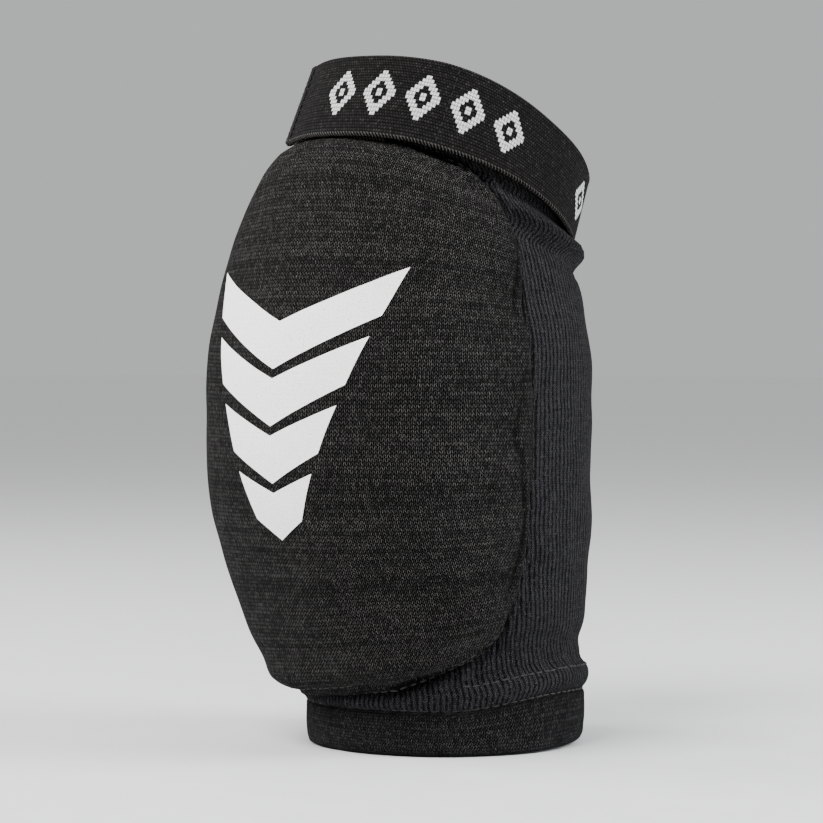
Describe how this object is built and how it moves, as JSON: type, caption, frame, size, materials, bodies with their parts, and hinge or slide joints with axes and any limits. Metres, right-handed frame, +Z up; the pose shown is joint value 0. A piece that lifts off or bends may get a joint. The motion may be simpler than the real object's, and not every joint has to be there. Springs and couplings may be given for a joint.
{
  "type": "slip-on elbow pad",
  "caption": "Knitted slip-on elbow sleeve with an oval foam striking pad, elastic cuffs and a hook-and-loop strap round the upper arm.",
  "frame": {"origin": "centre of the lower opening, on the plane the pad stands on", "axes": "+Z up the sleeve from the lower cuff to the strap; -Y is the way the foam pad faces; +X to the right of someone looking at the pad"},
  "size_m": [0.131, 0.1368, 0.2336],
  "materials": {
    "sleeve_knit": "ribbed elastic knit, matt",
    "pad_knit": "plain knit in fine courses, matt with a warm fleck",
    "cuff_knit": "fine knit, matt",
    "elastic_band": "woven rubber elastic, matt",
    "sewing_thread": "black polyester thread, slight sheen",
    "pad_foam": "closed-cell foam, matt",
    "emblem_ink": "silver screen print over knit, speckled",
    "webbing": "woven elastic webbing with a knitted-in light grey pattern, matt",
    "loop_pile": "soft loop pile",
    "hook_tape": "fine plastic hooks on tape"
  },
  "bodies": {
    "sleeve": {"sleeve_tube": "sleeve_knit", "lower_cuff": "cuff_knit", "lower_cuff_elastic": "elastic_band", "lower_hem_thread": "sewing_thread", "sleeve_roll_thread": "sewing_thread", "upper_cuff": "cuff_knit", "upper_cuff_elastic": "elastic_band", "foam_core": "pad_foam", "pad_cover": "pad_knit", "pad_seam_allowance": "pad_knit", "pad_seam_thread": "sewing_thread", "printed_emblem": "emblem_ink", "strap_anchor": "webbing", "loop_patch": "loop_pile", "anchor_stitching": "sewing_thread"},
    "strap_back_run": {"strap_back": "webbing"},
    "strap_side_run": {"strap_side": "webbing"},
    "strap_free_end": {"strap_tab": "webbing", "hook_patch": "hook_tape", "tab_end_binding": "webbing", "tab_stitching": "sewing_thread"}
  },
  "joints": [
    {"name": "strap_back_swing", "type": "hinge", "parent": "sleeve", "child": "strap_back_run", "pos_m": [-0.01692, 0.04168, 0.18532], "axis": [0.0678, 0.3848, 0.9205], "range_deg": [0, 42.75]},
    {"name": "strap_unwrap", "type": "hinge", "parent": "strap_back_run", "child": "strap_side_run", "pos_m": [0.04459, 0.01448, 0.19216], "axis": [0.0678, 0.3848, 0.9205], "range_deg": [0, 95]},
    {"name": "tab_peel", "type": "hinge", "parent": "strap_side_run", "child": "strap_free_end", "pos_m": [0.03027, -0.03964, 0.21584], "axis": [0.0678, 0.3848, 0.9205], "range_deg": [0, 95]}
  ],
  "couplings": [
    {"joint": "strap_back_swing", "follows": "strap_unwrap", "ratio": 0.45}
  ]
}
